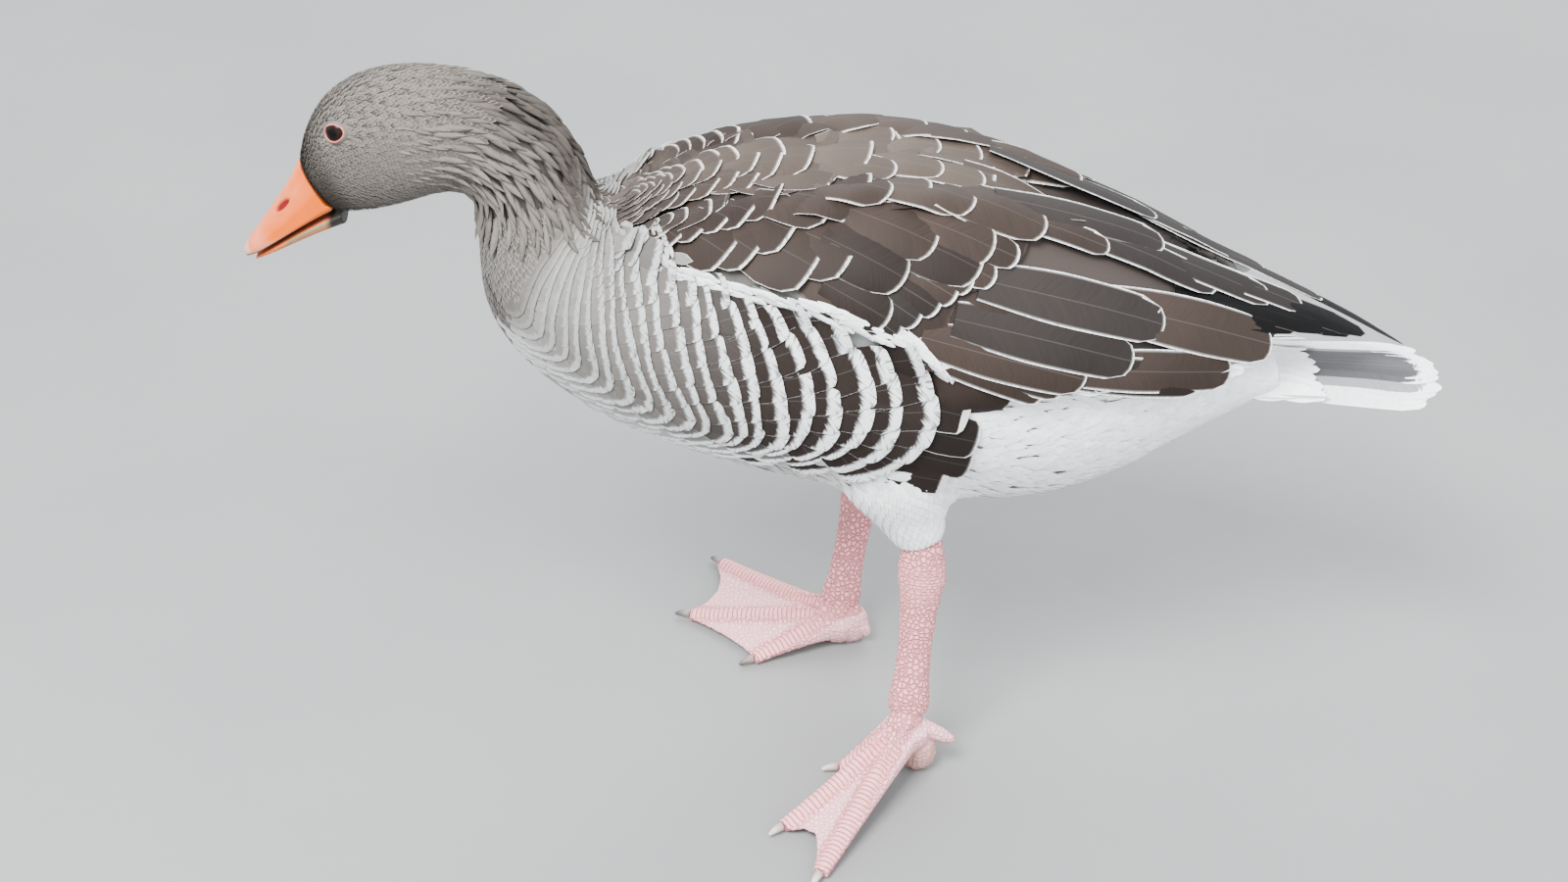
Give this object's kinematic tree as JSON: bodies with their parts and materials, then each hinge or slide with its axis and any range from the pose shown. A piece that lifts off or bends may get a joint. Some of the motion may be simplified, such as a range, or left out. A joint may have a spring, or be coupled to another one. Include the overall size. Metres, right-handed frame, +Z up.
{
  "type": "domestic goose",
  "caption": "Life-size grey goose caught in mid-stride, neck stretched low and forward, wings folded, standing on its own webbed feet.",
  "frame": {"origin": "on the floor under the middle of the goose's bounding box", "axes": "+Z up; the goose faces -X, with its left side towards -Y and its right side towards +Y"},
  "size_m": [0.7198, 0.3258, 0.4349],
  "materials": {
    "grey_plumage": "matte grey-brown feathers",
    "pale_plumage": "matte pale grey to white feathers with dark flank bars",
    "wing_plumage": "slightly glossy dark brown feathers with pale edges",
    "tail_plumage": "white and grey feathers",
    "leg_skin": "scaly pink skin",
    "bill_horn": "orange and pink horn, slightly glossy",
    "eye_glass": "very dark brown, wet gloss",
    "claw_horn": "grey horn"
  },
  "bodies": {
    "root": {"head": "grey_plumage", "neck_upper": "grey_plumage", "neck_lower": "grey_plumage", "trunk": "pale_plumage", "thigh_left": "pale_plumage", "thigh_right": "pale_plumage", "wing_left": "wing_plumage", "wing_right": "wing_plumage", "tail": "tail_plumage", "shank_left": "leg_skin", "shank_right": "leg_skin", "foot_left": "leg_skin", "foot_right": "leg_skin", "bill_upper": "bill_horn", "bill_lower": "bill_horn", "eye_left": "eye_glass", "eye_right": "eye_glass", "claw_left_inner": "claw_horn", "claw_left_middle": "claw_horn", "claw_left_outer": "claw_horn", "claw_right_inner": "claw_horn", "claw_right_middle": "claw_horn", "claw_right_outer": "claw_horn"}
  },
  "joints": []
}
